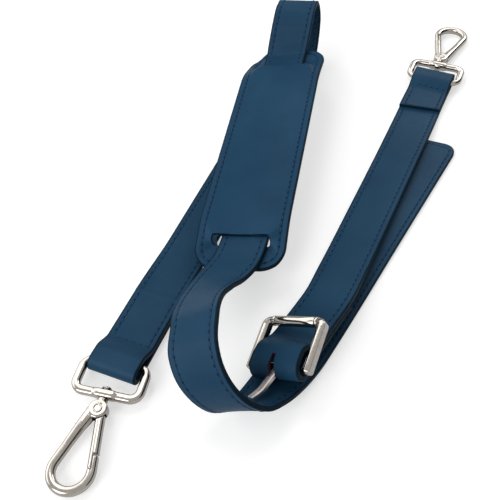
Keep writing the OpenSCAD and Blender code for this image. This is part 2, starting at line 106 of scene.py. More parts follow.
def tidyNormals(obj, crease, weld=False, other=None):  # also welds close points or takes in another mesh
    bm = bmesh.new()
    bm.from_mesh(obj.data)
    if other:
        bm.from_mesh(other.data)
    if weld:
        bmesh.ops.remove_doubles(bm, verts=bm.verts, dist=1e-3)
        bmesh.ops.dissolve_degenerate(bm, edges=bm.edges, dist=1e-4)
    bmesh.ops.recalc_face_normals(bm, faces=bm.faces)
    bm.to_mesh(obj.data)
    bm.free()
    obj.data.shade_smooth()
    obj.data.set_sharp_from_angle(angle=math.radians(crease))


def bakeModifiers(obj, crease):
    bpy.context.view_layer.update()
    graph = bpy.context.evaluated_depsgraph_get()
    mesh = bpy.data.meshes.new_from_object(obj.evaluated_get(graph))
    obj.modifiers.clear()
    old = obj.data
    obj.data = mesh
    mesh.name = old.name
    tidyNormals(obj, crease)
    return obj


def cutWith(obj, cutters, crease=40):
    for cutter in cutters:
        cut = obj.modifiers.new("cut", "BOOLEAN")
        cut.operation, cut.object, cut.solver = "DIFFERENCE", cutter, "EXACT"
        cut.material_mode = "TRANSFER"
    bakeModifiers(obj, crease)
    for cutter in cutters:
        bpy.data.objects.remove(cutter)
    return obj


def roundEdges(obj, width, angle):
    bevel = obj.modifiers.new("edges", "BEVEL")
    bevel.width, bevel.segments, bevel.limit_method = width, 3, "ANGLE"
    bevel.angle_limit = math.radians(angle)
    return bakeModifiers(obj, 40)


def mergePieces(obj, other):  # the other mesh becomes part of the first one
    tidyNormals(obj, 40, other=other)
    bpy.data.objects.remove(other)
    finish = obj.data.materials[0]
    obj.data.materials.clear()
    obj.data.materials.append(finish)
    for face in obj.data.polygons:
        face.material_index = 0
    return obj


def castShape(obj, voxel, rounds):  # melts overlapping shapes into one cast body with soft inner corners
    skin = obj.modifiers.new("skin", "REMESH")
    skin.mode, skin.voxel_size = "VOXEL", voxel
    soften = obj.modifiers.new("soften", "SMOOTH")
    soften.factor, soften.iterations = 0.5, rounds
    return bakeModifiers(obj, 180)


def joined(parts):  # several (verts, faces) as one
    verts, faces, start = [], [], 0
    for v, f in parts:
        verts.append(np.asarray(v, float))
        faces += [[i + start for i in face] for face in f]
        start += len(v)
    return np.vstack(verts), faces


def loftRings(rings, closed=False, caps=True):  # rings of equal length, each a closed loop
    rings = np.asarray(rings, float)
    count, size = rings.shape[:2]
    faces = []
    for i in range(count if closed else count - 1):
        a, b = i * size, (i + 1) % count * size
        faces += [[a + k, a + (k + 1) % size, b + (k + 1) % size, b + k] for k in range(size)]
    if caps and not closed:
        faces += [list(range(size))[::-1], [(count - 1) * size + k for k in range(size)]]
    return rings.reshape(-1, 3), faces


def lathe(profile, axis, sides=40, closed=False):  # profile of (distance along the axis, radius)
    q = np.linspace(0, 2 * math.pi, sides, endpoint=False)
    rings = []
    for along, radius in profile:
        c, s = radius * np.cos(q), radius * np.sin(q)
        a = np.full(sides, float(along))
        rings.append(np.stack({"x": (a, c, s), "y": (s, a, c), "z": (c, s, a)}[axis], axis=-1))
    return loftRings(rings, closed)


def oval(halfWide, halfHigh, power, sides=32):
    q = np.linspace(0, 2 * math.pi, sides, endpoint=False)
    x, y = (np.sign(c) * np.abs(c) ** (2 / power) for c in (np.cos(q), np.sin(q)))
    return np.stack([halfWide * x, halfHigh * y], axis=-1)


def sweepFlat(path, sections, closed=False):  # a bar along a path in the xy plane
    path = np.asarray(path, float)
    if closed:
        way = unit(np.roll(path, -1, axis=0) - np.roll(path, 1, axis=0))
    else:
        way = unit(np.gradient(path, axis=0))
    side = np.cross([0.0, 0.0, 1.0], way)
    rings = [p + s[:, :1] * w + s[:, 1:] * [0, 0, 1] for p, w, s in zip(path, side, sections)]
    return loftRings(rings, closed)


def cubePart(low, high):
    x0, y0, z0 = low
    x1, y1, z1 = high
    ring = [[x0, y0], [x1, y0], [x1, y1], [x0, y1]]
    return loftRings([[[x, y, z] for x, y in ring] for z in (z0, z1)])


def moved(part, by, turn=0.0):  # (verts, faces) turned about z by degrees, then moved
    return turned(part[0], turn) + by, part[1]


def flatPiece(name, wide, high, material):
    x, y = wide / 2, high / 2
    return newPiece(name, [[-x, -y, 0], [x, -y, 0], [x, y, 0], [-x, y, 0]], [[0, 1, 2, 3]], material)


def settle(obj, matrix, body, node):  # from millimetres to its place in metres, then onto its body
    obj.data.transform(Matrix.Scale(mm, 4) @ matrix)
    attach(obj, body)
    if node:
        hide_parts(node)


# materials
def srgb(*values):  # linear colour from values of 0 to 255
    shares = [v / 255 for v in values]
    return tuple(c / 12.92 if c <= 0.04045 else ((c + 0.055) / 1.055) ** 2.4 for c in shares) + (1.0,)


def startMaterial(name):
    mat = bpy.data.materials.new(name)
    mat.use_nodes = True
    nodes = mat.node_tree.nodes
    return mat, nodes["Principled BSDF"], nodes.new("ShaderNodeTexCoord").outputs["Object"]


def nodeBeside(socket, kind):  # new node in the same tree
    return socket.id_data.nodes.new("ShaderNode" + kind)


def link(output, node, key):
    node.id_data.links.new(output, node.inputs[key])


def texture(kind, where, **inputs):
    node = nodeBeside(where, kind)
    link(where, node, "Vector")
    for key, value in inputs.items():
        node.inputs[key].default_value = value
    return node


def blendColours(factor, stops):
    ramp = nodeBeside(factor, "ValToRGB")
    link(factor, ramp, "Fac")
    elements = ramp.color_ramp.elements
    while len(elements) < len(stops):
        elements.new(0.5)
    for e, (place, colour) in zip(elements, stops):
        e.position, e.color = place, colour
    return ramp.outputs["Color"]


def remap(value, low, high, fromLow=0.0, fromHigh=1.0):
    node = nodeBeside(value, "MapRange")
    link(value, node, "Value")
    for key, v in zip(("From Min", "From Max", "To Min", "To Max"), (fromLow, fromHigh, low, high)):
        node.inputs[key].default_value = v
    return node.outputs["Result"]


def bumpFrom(height, strength, distance, under=None):
    node = nodeBeside(height, "Bump")
    node.inputs["Strength"].default_value = strength
    node.inputs["Distance"].default_value = distance
    link(height, node, "Height")
    if under:
        link(under, node, "Normal")
    return node.outputs["Normal"]


def leatherMaterial(name, dark, mid, light, rough=(0.44, 0.56), grain=0.3, gloss=0.09):
    mat, shader, where = startMaterial(name)
    drift = texture("TexNoise", where, Scale=26.0, Detail=4.0, Roughness=0.55)
    link(blendColours(drift.outputs["Fac"], [(0.25, dark), (0.5, mid), (0.78, light)]), shader, "Base Color")
    pores = texture("TexVoronoi", where, Scale=1500.0, Randomness=1.0)
    creases = texture("TexNoise", where, Scale=520.0, Detail=5.0, Roughness=0.6)
    link(remap(creases.outputs["Fac"], *rough, 0.3, 0.7), shader, "Roughness")
    low = bumpFrom(creases.outputs["Fac"], grain, 0.00012)
    link(bumpFrom(pores.outputs["Distance"], grain * 0.8, 0.00006, low), shader, "Normal")
    shader.inputs["Specular IOR Level"].default_value = gloss
    return mat


def metalMaterial(name, base, warm, rough=(0.09, 0.19), scale=300.0):
    mat, shader, where = startMaterial(name)
    cloud = texture("TexNoise", where, Scale=scale, Detail=4.0, Roughness=0.6)
    link(blendColours(cloud.outputs["Fac"], [(0.3, warm), (0.7, base)]), shader, "Base Color")
    smear = texture("TexNoise", where, Scale=scale * 2.5, Detail=3.0, Roughness=0.5, Distortion=1.5)
    link(remap(smear.outputs["Fac"], *rough, 0.3, 0.75), shader, "Roughness")
    link(bumpFrom(smear.outputs["Fac"], 0.06, 0.00003), shader, "Normal")
    shader.inputs["Metallic"].default_value = 1.0
    return mat


def threadMaterial(name, dark, light):
    mat, shader, where = startMaterial(name)
    twist = texture("TexWave", where, Scale=1100.0, Distortion=2.0, Detail=1.0)
    link(blendColours(twist.outputs["Fac"], [(0.2, dark), (0.8, light)]), shader, "Base Color")
    link(bumpFrom(twist.outputs["Fac"], 0.5, 0.00008), shader, "Normal")
    shader.inputs["Roughness"].default_value = 0.6
    shader.inputs["Specular IOR Level"].default_value = 0.1
    return mat


def foamMaterial(name, dark, light):
    mat, shader, where = startMaterial(name)
    cells = texture("TexVoronoi", where, Scale=1400.0)
    link(blendColours(cells.outputs["Distance"], [(0.1, light), (0.7, dark)]), shader, "Base Color")
    link(bumpFrom(cells.outputs["Distance"], 0.6, 0.0002), shader, "Normal")
    shader.inputs["Roughness"].default_value = 0.9
    return mat


strapLeather = leatherMaterial("strapLeather", srgb(22, 55, 80), srgb(27, 61, 86), srgb(33, 68, 93))
padLeather = leatherMaterial("padLeather", srgb(22, 56, 82), srgb(27, 62, 88), srgb(33, 69, 95))
liningLeather = leatherMaterial("liningLeather", srgb(22, 48, 70), srgb(27, 56, 79), srgb(33, 63, 87), (0.62, 0.75))
rawLeather = leatherMaterial("rawLeather", srgb(52, 36, 54), srgb(70, 47, 66), srgb(84, 60, 76), (0.75, 0.9), 0.6)
edgePaint = leatherMaterial("edgePaint", srgb(6, 24, 36), srgb(9, 31, 44), srgb(14, 39, 53), (0.5, 0.62), 0.25, 0.06)
thread = threadMaterial("thread", srgb(15, 42, 68), srgb(38, 78, 110))
# painted shade: dark colour for the flat discs that stand in for the shadow inside each needle hole
paintedHoleShade = threadMaterial("paintedHoleShade", srgb(8, 25, 42), srgb(14, 35, 55))
brightMetal = metalMaterial("brightMetal", srgb(158, 153, 147), srgb(146, 141, 134))
satinMetal = metalMaterial("satinMetal", srgb(190, 182, 178), srgb(172, 163, 160), (0.34, 0.46))
springSteel = metalMaterial("springSteel", srgb(176, 175, 172), srgb(160, 157, 152), (0.2, 0.32))
padFoamLook = foamMaterial("padFoam", srgb(120, 124, 126), srgb(158, 161, 162))
print("materials made")


# strap routes, repeated from the part's source: layout millimetres, heading and tilt of the right side
strapSizes = {"half": 12.5, "layer": 1.2, "seam": 0.02, "tip": 7.0, "longFold": 48.0, "shortFold": 36.0,
              "foldRadius": 3.4, "stack": 2.5, "heelRadius": 4.7, "longSlant": 2.0, "shortSlant": -1.8,
              "slantOver": 16.0}
strapHalf, tipRadius = strapSizes["half"], strapSizes["tip"]
foldRadius, heelRadius = strapSizes["foldRadius"], strapSizes["heelRadius"]
flatZ = strapSizes["layer"]
foldZ = flatZ + foldRadius
foldA, foldB = (-67.0, -70.0), (128.0, 132.5)
padMiddle, padHeading, padRise, padRoll = np.array([12.4, 62.5, 19.7]), 76.0, 2.8, 9.0
heel, heelHeading, heelRoll = np.array([9.5, -80.8, 13.9]), 65.0, 24.0


def onPlan(p, heading, d, z, side):
    a = aim(heading)
    return [p[0] + d * a[0], p[1] + d * a[1], z, side, 0.0]


def halfTurn(centre, ahead, up, radius, side, tilt):
    turns = np.radians(np.arange(0, 181, 30))
    places = [np.asarray(centre) - ahead * radius * math.sin(q) - up * radius * math.cos(q) for q in turns]
    return [[*place, side, tilt] for place in places]


def under(p, d):  # the same place on a fold that lies d below
    up = unit(np.cross(aim(p[3], p[4]), aim(p[3] + 90)))
    return [*(np.array(p[:3]) - d * up), p[3], p[4]]


upright = np.array([0.0, 0.0, 1.0])
foldTop, stackZ = foldZ + foldRadius, flatZ + strapSizes["stack"]
longRoute = (
    [onPlan(foldA, 65, strapSizes["longFold"] - foldRadius, flatZ, -25), onPlan(foldA, 65, 5, flatZ, -25)]
    + halfTurn([*foldA, foldZ], aim(65), upright, foldRadius, -25, 0)
    + [onPlan(foldA, 65, d, z, -25)
       for d, z in ((5, foldTop), (16, stackZ), (44, stackZ), (84, flatZ), (172, flatZ), (232, flatZ))]
    + [[37, 153, 2.4, -25, 2], [42, 164.5, 7, -25, 5], [45, 174, 16, -24, 5], [46, 178, 27, -20, 4],
       [44.6, 175.4, 37.5, -17, 4], [42, 168, 43.5, -16, 3], [39.5, 160.5, 43, -16, 1], [37.3, 154.5, 38.5, -15, 0],
       [35.2, 149.5, 32.5, -15, 1], [33.3, 144.8, 27, -14, 4]]
    + [[*(padMiddle + d * aim(padHeading, padRise) + aside * aim(padHeading - 90, padRoll)), padHeading - 90, padRoll]
       for d, aside in ((80, 0), (76, 0), (-62, 2.6), (-70, 2.6), (-84, 0.7))]
    + [[-15.6, -31.7, 18, -14, 10], [-20.9, -43.3, 24.5, -10, 19], [-24.7, -55.4, 31.5, -6, 26],
       [-26.3, -68.5, 36.3, -4, 29], [-27, -83, 36, -4, 30], [-24.5, -92.5, 31.5, -7, 35], [-19.3, -98.5, 24, -13, 39],
       [-12.4, -100.5, 16, -20, 39], [-5, -97.5, 9.6, -29, 33], [2, -90.5, 6.2, -34, 22], [9, -82.5, 4, -36, 12],
       [18, -71.2, 2.1, -35, 3]]
    + [onPlan((117, 72.5), 55.5, -d, flatZ, -34.5) for d in (157, 78.5, 7, 0)])
runUp = [[18.5, -66, 11.52, -30, 15], [28, -53, 9.6, -31, 15], [36.5, -41.5, 9.24, -29, 14]]
heelAhead, heelSide = aim(heelHeading), heelHeading - 90
heelUp = np.cross(aim(heelSide, heelRoll), heelAhead)
shortRoute = (
    [under(runUp[2], 2.5), under(runUp[1], 2.5), under(runUp[0], 3.5)]
    + [[*(heel - heelUp * heelRadius + heelAhead * 6), heelSide, heelRoll]]
    + halfTurn(heel, heelAhead, heelUp, heelRadius, heelSide, heelRoll)
    + [[*(heel + heelUp * heelRadius + heelAhead * 6), heelSide, heelRoll]]
    + runUp
    + [[46, -23.5, 6.24, -28, 11], [68, 17.8, 4.68, -28, 9], [94, 66.5, 4.44, -28, 7], [106, 90, 2.64, -28, 3]]
    + [onPlan(foldB, 62, d, flatZ, -28) for d in (8 - strapSizes["shortFold"], -5)]
    + halfTurn([*foldB, foldZ], -aim(62), upright, foldRadius, -28, 0)
    + [onPlan(foldB, 62, -5, foldTop, -28), onPlan(foldB, 62, -16, stackZ, -28),
       onPlan(foldB, 62, foldRadius - strapSizes["shortFold"], stackZ, -28)])


def strapLine(route, perSpan=60):  # smooth line through a route, with the strap's own directions along it
    r = np.array(route, float)
    step = np.diff(r, axis=0)
    chord = np.linalg.norm(step[:, :3], axis=1)
    grade = step / chord[:, None]
    slope = np.vstack([grade[:1], np.empty((len(r) - 2, 5)), grade[-1:]])
    for i in range(1, len(r) - 1):
        a, b = chord[i - 1], chord[i]
        slope[i] = (grade[i - 1] * b + grade[i] * a) / (a + b)
        if grade[i - 1][2] * grade[i][2] <= 1e-6:
            slope[i][2] = 0  # no swing past a high, low or level point
    u = np.linspace(0, 1, perSpan, endpoint=False)[:, None]
    spans = [(2 * u**3 - 3 * u**2 + 1) * r[i] + (u**3 - 2 * u**2 + u) * chord[i] * slope[i]
             + (3 * u**2 - 2 * u**3) * r[i + 1] + (u**3 - u**2) * chord[i] * slope[i + 1] for i in range(len(r) - 1)]
    fine = np.vstack(spans + [r[-1:]])
    p = fine[:, :3] - middle
    along = walkedAlong(p)
    t = unit(np.gradient(p, along, axis=0))
    side = aim(fine[:, 3], fine[:, 4])
    b = unit(side - (side * t).sum(1)[:, None] * t)
    bend = np.linalg.norm(np.gradient(t, along, axis=0), axis=1)
    return {"along": along, "p": p, "t": t, "b": b, "n": np.cross(t, b), "bend": bend, "length": along[-1]}


def onStrap(line, s):  # place, way, right side and face normal at distances s along the strap
    return [np.stack([np.interp(s, line["along"], line[k][:, j]) for j in range(3)], axis=-1) for k in "ptbn"]


def slanted(line, s, y):  # how far a slanting cut moves a point along the strap near its end
    near = strapSizes["slantOver"]
    return line["slant"] * y / strapHalf * np.clip((s - line["length"] + near) / near, 0, 1) ** 2


def stations(line, step, tip, tipStep, least=0.35, turn=0.13):  # closer together in the tight folds and round a tip
    s, found = 0.0, [0.0]
    while s < line["length"] - least:
        bend = np.interp(s, line["along"], line["bend"])
        s = min(line["length"], s + min(step, max(least, turn / max(bend, 1e-6))))
        found.append(s)
    found[-1] = line["length"]
    if not tip:
        return np.array(found)
    return np.union1d(found, line["length"] - tip * (1 - np.sin(np.radians(np.arange(0, 91, tipStep)))))


def halfWidth(line, s, tip):  # the strap's half width, less at a rounded tip
    half = np.full(len(s), strapHalf)
    if tip:
        left = np.clip(line["length"] - s, 0, tip)
        half -= tip - np.sqrt(np.maximum(tip**2 - (tip - left) ** 2, 0))
    return half


longLine, shortLine = strapLine(longRoute), strapLine(shortRoute)
longLine["slant"], shortLine["slant"] = strapSizes["longSlant"], strapSizes["shortSlant"]
print("straps: %.0f and %.0f mm long" % (longLine["length"], shortLine["length"]))


# strap layers: rounded edge, stitch groove pulled down at each needle hole
layerLook = {"step": 0.95, "groove": 0.2, "pull": 0.1, "inset": 3.0, "pitch": 3.8, "ridge": 0.45, "ridgeWide": 1.0}
edgeShape = [(0.10, 0.0), (0.0, 0.12), (0.0, 0.74), (0.07, 0.96), (0.22, 1.12), (0.5, 1.2), (1.3, 1.225), (2.25, 1.2)]


def strapLayer(name, line, outer, sewn, tip=0.0, ridges=()):  # outer is 1 for the face layer, -1 for the back layer
    thick, inset = strapSizes["layer"], layerLook["inset"]
    s = stations(line, layerLook["step"], tip, 9)
    p, t, b, n = onStrap(line, s)
    half = halfWidth(line, s, tip)
    inRange = np.zeros(len(s))
    for low, high in sewn:
        inRange = np.maximum(inRange, np.clip((s - low) / 2, 0, 1) * np.clip((high - s) / 2, 0, 1))
    deep = inRange * (layerLook["groove"] + layerLook["pull"] * np.cos(2 * np.pi * s / layerLook["pitch"]))
    bumps = [layerLook["ridge"] * np.exp(-(((s - at) / layerLook["ridgeWide"]) ** 2)) for at in ridges]
    swell = sum(bumps, np.zeros(len(s)))
    columns = [(i, np.full(len(s), h)) for i, h in edgeShape]
    columns += [(inset - 0.38, thick - 0.3 * deep), (inset, thick - deep), (inset + 0.38, thick - 0.3 * deep)]
    columns += [(i, np.full(len(s), thick)) for i in (inset + 0.75, 5.0)]
    left = [(i - half, h + swell * (h > 0.9)) for i, h in columns]
    loop = left + [(half * k, thick + swell) for k in (-0.3, 0.0, 0.3)] + [(-y, h) for y, h in left[::-1]]
    loop += [(half * k, np.zeros(len(s))) for k in (0.5, -0.5)]
    base = strapSizes["seam"] if outer > 0 else 0.0
    rings = []
    for y, h in loop:
        rise = outer * (base + h * (thick - base) / thick)
        rings.append(p + b * y[:, None] + n * rise[:, None] + t * slanted(line, s, y)[:, None])
    verts, faces = loftRings(np.stack(rings, axis=1))
    return newPiece(name, verts, faces, strapLeather, 50)


def strapOutline(line, tip):  # closed path round the strap's edge, with the strap's normal
    s = stations(line, 1.2, tip, 6)
    p, t, b, n = onStrap(line, s)
    half = halfWidth(line, s, tip)[:, None]
    ends = np.linspace(1, -1, 12)[1:-1, None]
    lean = slanted(line, s[:, None], half) * t
    last = -ends * half[-1]
    lastCut = p[-1] + last * b[-1] + slanted(line, s[-1], last) * t[-1]
    firstCut = p[0] + ends * half[0] * b[0]
    points = np.vstack([p - b * half - lean, lastCut, (p + b * half + lean)[::-1], firstCut])
    normals = np.vstack([n, np.repeat(n[-1:], len(ends), 0), n[::-1], np.repeat(n[:1], len(ends), 0)])
    return points, normals


# edge paint: a bead over the edge, lapping onto both faces, as (outwards, above the face)
edgeBeadShape = [(-0.7, -0.12), (-0.7, 0.025), (-0.5, 0.04), (-0.22, -0.02), (-0.06, -0.16), (0.04, -0.4),
                 (0.09, -0.75)]


def edgeBead(name, points, normals, halfHigh):
    way = unit(np.roll(points, -1, axis=0) - np.roll(points, 1, axis=0))
    out = unit(np.cross(way, normals))
    if ((points - points.mean(0)) * out).sum() < 0:
        out = -out
    upper = [(o, halfHigh + h) for o, h in edgeBeadShape]
    shape = upper + [(0.06, 0.0)] + [(o, -h) for o, h in upper[::-1]]
    rings = np.stack([points + out * o + normals * h for o, h in shape], axis=1)
    verts, faces = loftRings(rings, closed=True)
    return newPiece(name, verts, faces, edgePaint, 60)


# stitches: short threads between needle holes, dipping at both ends, with a flat dark disc at each hole: painted shade
# for the hole
stitchLook = {"pitch": 3.8, "length": 3.0, "thick": 0.72, "slant": 7.0, "lift": -0.06, "dip": 0.34, "hole": 0.52}


def stitchRun(points, normals, closed=False):  # places, ways and normals at an even pitch along a path
    if closed:
        points, normals = np.vstack([points, points[:1]]), np.vstack([normals, normals[:1]])
    along = walkedAlong(points)
    count = max(1, int(round(along[-1] / stitchLook["pitch"])))
    at = (np.arange(count) + 0.5) * along[-1] / count

    def sample(data, where):
        return np.stack([np.interp(where, along, data[:, j]) for j in range(3)], axis=-1)

    ahead = unit(sample(points, at + 0.4) - sample(points, at - 0.4))
    up = unit(sample(normals, at))
    return sample(points, at), ahead, up


def stitchPiece(name, runs):
    look = stitchLook
    places, ways, ups = (np.vstack(x) for x in zip(*runs))
    across = unit(np.cross(ups, ways))
    c, s = math.cos(math.radians(look["slant"])), math.sin(math.radians(look["slant"]))
    ways, across = ways * c + across * s, across * c - ways * s
    q = np.linspace(0, 2 * math.pi, 7, endpoint=False)
    rings = []
    for k, fat in ((-1.0, 0.5), (-0.88, 0.82), (-0.5, 1.0), (0.0, 1.05), (0.5, 1.0), (0.88, 0.82), (1.0, 0.5)):
        u = fat * look["thick"] / 2 * 0.8 * np.sin(q) + look["lift"] - look["dip"] * abs(k) ** 4
        rings.append(np.stack([np.full(7, k * look["length"] / 2), fat * look["thick"] / 2 * np.cos(q), u], axis=-1))
    # a flat disc at each needle hole, later given the painted hole shade
    hole = []
    for k, h in ((1.0, -0.16), (0.85, 0.01), (0.4, 0.03)):
        x = 0.5 * look["pitch"] + k * look["hole"] * 1.8 * np.cos(q)
        hole.append(np.stack([x, k * look["hole"] * np.sin(q), np.full(7, h)], axis=-1))
    shapes = [loftRings(rings), loftRings(hole)]
    shape, shapeFaces = joined(shapes)
    x, y, z = (shape[None, :, j:j + 1] for j in range(3))
    verts = places[:, None] + ways[:, None] * x + across[:, None] * y + ups[:, None] * z
    shapeFaces = [np.array(f) for f in shapeFaces]
    faces = [f + i * len(shape) for i in range(len(places)) for f in shapeFaces]
    obj = newPiece(name, verts.reshape(-1, 3), faces, thread, 75)
    obj.data.materials.append(paintedHoleShade)
    # faces of the hole discs take the painted shade, the thread faces keep the thread colour
    dark = np.array([0] * len(shapes[0][1]) + [1] * len(shapes[1][1]))
    obj.data.polygons.foreach_set("material_index", np.tile(dark, len(places)))
    return obj


def onLayer(line, s, y, outer):  # points on a strap's outer face at distances s and offsets y
    s, y = np.asarray(s, float), np.asarray(y, float)
    p, t, b, n = onStrap(line, s)
    n = unit(n) * outer
    return p + b * y[:, None] + t * slanted(line, s, y)[:, None] + n * strapSizes["layer"], n


def sewnLine(line, s0, s1, y, outer):
    s = np.arange(s0, s1 + 0.01, (s1 - s0) / max(2, round(s1 - s0)))
    return stitchRun(*onLayer(line, s, np.full(len(s), y), outer))


def sewnAcross(line, s, y, outer):
    ys = np.linspace(-y, y, 20)
    return stitchRun(*onLayer(line, np.full(len(ys), s), ys, outer))


def placeAlong(line, x, y):  # how far along the strap its middle line comes nearest to a layout point
    d = np.linalg.norm(line["p"][:, :2] + middle[:2] - [x, y], axis=1)
    return line["along"][d.argmin()]


# where the seams start, cross and end: from the turn round an eye's bar, from the cut end, from the heel
sewLook = {"cross": 16.0, "foldCross": 28.0, "faceFrom": 52.0, "ridgeAt": 45.5, "eyeGap": 12.0, "endGap": 1.5,
           "heelGap": 4.0}
stitchY = strapHalf - layerLook["inset"]
foldTurn = math.pi * foldRadius
longEnd = longLine["length"]
runStart = strapSizes["longFold"] - foldRadius + foldTurn  # distance at which the run leaves the hook's bar
crossA, faceFrom = runStart + sewLook["cross"], runStart + sewLook["faceFrom"]
backSewn = [(0.0, sewLook["foldCross"] + 1), (crossA, longEnd)]
longFace = strapLayer("longStrapFace", longLine, 1, [(faceFrom, longEnd)], tipRadius)
longBack = strapLayer("longStrapBack", longLine, -1, backSewn, tipRadius, [runStart + sewLook["ridgeAt"]])


def sewnRound(s0, outer):  # up one side of the long strap, round its tip and down the other side
    q, r = np.radians(np.linspace(0, 90, 10)), tipRadius - layerLook["inset"]
    tipS, tipY = longEnd - tipRadius + r * np.sin(q), stitchY - r * (1 - np.cos(q))
    s = np.arange(s0, longEnd - tipRadius, 1.0)
    ss = np.concatenate([s, tipS, tipS[::-1], s[::-1]])
    ys = np.concatenate([np.full(len(s), -stitchY), -tipY, tipY[::-1], np.full(len(s), stitchY)])
    return stitchRun(*onLayer(longLine, ss, ys, outer))


longStitches = stitchPiece("longStrapStitches", [
    sewnRound(crossA, -1), sewnAcross(longLine, crossA, stitchY, -1), sewnRound(faceFrom, 1),
    *(sewnLine(longLine, sewLook["endGap"], sewLook["foldCross"], y, -1) for y in (stitchY, -stitchY)),
    sewnAcross(longLine, sewLook["foldCross"], stitchY, -1)])
longEdge = edgeBead("longStrapEdge", *strapOutline(longLine, tipRadius), strapSizes["layer"])

shortEnd = shortLine["length"]
foldBack = strapSizes["shortFold"] - foldRadius
turnB = shortEnd - foldBack - foldTurn
crossHeel = placeAlong(shortLine, *runUp[1][:2]) - sewLook["heelGap"]
beforeEye, afterEye = turnB - sewLook["eyeGap"], shortEnd - foldBack + sewLook["eyeGap"]
backEnd = turnB - foldBack + 2
shortFace = strapLayer("shortStrapFace", shortLine, 1, [(crossHeel, beforeEye), (afterEye, shortEnd)])
shortBack = strapLayer("shortStrapBack", shortLine, -1, [(crossHeel, backEnd)])
bothSides = (-stitchY, stitchY)
shortStitches = stitchPiece("shortStrapStitches", [
    *(sewnLine(shortLine, crossHeel, backEnd, y, -1) for y in bothSides), sewnAcross(shortLine, crossHeel, stitchY, -1),
    *(sewnLine(shortLine, crossHeel, beforeEye, y, 1) for y in bothSides),
    *(sewnLine(shortLine, afterEye, shortEnd - sewLook["endGap"], y, 1) for y in bothSides),
    sewnAcross(shortLine, afterEye, stitchY, 1)])
shortEdge = edgeBead("shortStrapEdge", *strapOutline(shortLine, 0.0), strapSizes["layer"])

# punched holes in the free end, and the slot that the prong passes
holeLook = {"across": 3.5, "count": 5, "pitch": 20.0, "first": 62.0}
slotLook = {"wide": 3.4, "straight": 10.4, "skew": 14.0, "aside": -0.2, "lower": 0.6, "from": -9.0, "to": 3.0}


def holeCutters():
    found = []
    for i in range(holeLook["count"]):
        s = longEnd - holeLook["first"] - i * holeLook["pitch"]
        p, t, b, n = (x[0] for x in onStrap(longLine, np.array([s])))
        r = holeLook["across"] / 2
        verts, faces = lathe([(-3, r), (3, r)], "z", 32)
        verts = p + verts[:, :1] * t + verts[:, 1:2] * b + verts[:, 2:] * n
        found.append(newPiece("hole", verts, faces, rawLeather))
    return found


def prongSlotCutters():  # long slot over the turn of leather, round at both ends, in the heel's own directions
    q = np.radians(np.arange(0, 360, 12))
    r, half = slotLook["wide"] / 2, slotLook["straight"] / 2
    aside = heelRadius * math.tan(math.radians(slotLook["skew"])) + slotLook["aside"]
    up = np.where(np.sin(q) >= 0, half, -half) - slotLook["lower"] + r * np.sin(q)
    ring = np.stack([0 * q, aside + r * np.cos(q), up], axis=-1)
    verts, faces = loftRings([ring + [x, 0, 0] for x in (slotLook["from"], slotLook["to"])])
    cutter = newPiece("slot", verts, faces, rawLeather)
    cutter.data.transform(placed(heel - middle, (-heelRoll, 0, heelHeading)))
    return [cutter]


for part, makeCutters in ((longFace, holeCutters), (longBack, holeCutters),
                          (shortFace, prongSlotCutters), (shortBack, prongSlotCutters)):
    cutWith(part, makeCutters(), 50)
for strap, line, pieces in (("long_strap", longLine, (longFace, longBack, longEdge, longStitches)),
                            ("short_strap", shortLine, (shortFace, shortBack, shortEdge, shortStitches))):
    for part, node in zip(pieces, (strap + "_face", strap + "_back", None, None)):
        settle(part, Matrix.Identity(4), strap, node)
print("straps, edges and stitches made")


# shoulder pad: two leathers over a thin foam, slots for the strap, sewn all round
padLook = {"halfLong": 88.0, "halfWide": 24.25, "corner": 13.0, "face": 1.2, "lining": 1.0, "gap": 0.02, "aside": -0.6,
           "slotAt": (71.8, 68.9), "slotOpen": 4.2, "faceSlots": (32.0, (0, 0)), "liningSlots": (28.6, (-1.1, 0.6)),
           "panel": 1.5, "flap": -1.9, "ramp": 2.5, "edgeRamp": 16.0, "edgeFrom": 15, "edgeOver": 9, "droop": 4.0,
           "droopFrom": (54, 12), "droopOver": (32, 10), "crown": 1.8, "crownFrom": (4, 5), "crownOver": (26, 15),
           "edge": 0.5, "sewn": 3.6, "groove": 0.3, "grooveWide": 0.35, "pull": 0.1, "pullWide": 1.3, "puff": 0.12,
           "puffAt": 2.0, "foamShape": (62.6, 17.4, 8.0), "foamShare": 0.75}
padCounts = {"side": 150, "end": 16, "turn": 14}  # points along a side, along an end and round a corner
padInsets = [0, 0.06, 0.2, 0.45, 0.9, 1.8, 2.5, 3.0, 3.3, 3.6, 3.9, 4.2, 4.9, 6.3, 7.3, 8.3, 9.3, 10.3, 11.4, 12.6,
             13.8, 15.2, 17, 19.5, 22, 24.15]
foamInsets = [0.0, 0.3, 0.8, 1.6, 2.6, 3.8, 5.2, 7.0, 9.0, 12.0, 15.0, 17.3]
faceLow = padLook["lining"] + padLook["gap"]
padEdgeThick = faceLow + padLook["face"]
panelZ, flapZ = padLook["panel"], padLook["flap"] - padEdgeThick
padPlace = placed(padMiddle - middle, (-padRoll, -padRise, padHeading)) @ Matrix.Translation((0, padLook["aside"], 0))


def padHalf(x):
    d = np.maximum(0, np.abs(x) - (padLook["halfLong"] - padLook["corner"]))
    return padLook["halfWide"] - padLook["corner"] + np.sqrt(np.maximum(0, padLook["corner"] ** 2 - d * d))


def slotAt(x):  # distance of the slot on that half of the pad
    return np.where(x < 0, *padLook["slotAt"])


def padBase(x, y):  # steep at the slots, where the strap comes through, and a long slope along the outer edges
    ramp = padLook["ramp"] + padLook["edgeRamp"] * ease((np.abs(y) - padLook["edgeFrom"]) / padLook["edgeOver"])
    (x0, y0), (dx, dy) = padLook["droopFrom"], padLook["droopOver"]
    droop = padLook["droop"] * ease((x - x0) / dx) * ease((y - y0) / dy)  # one corner hangs a little
    return panelZ + (flapZ - panelZ) * ease((np.abs(x) - slotAt(x) + ramp) / (2 * ramp)) - droop


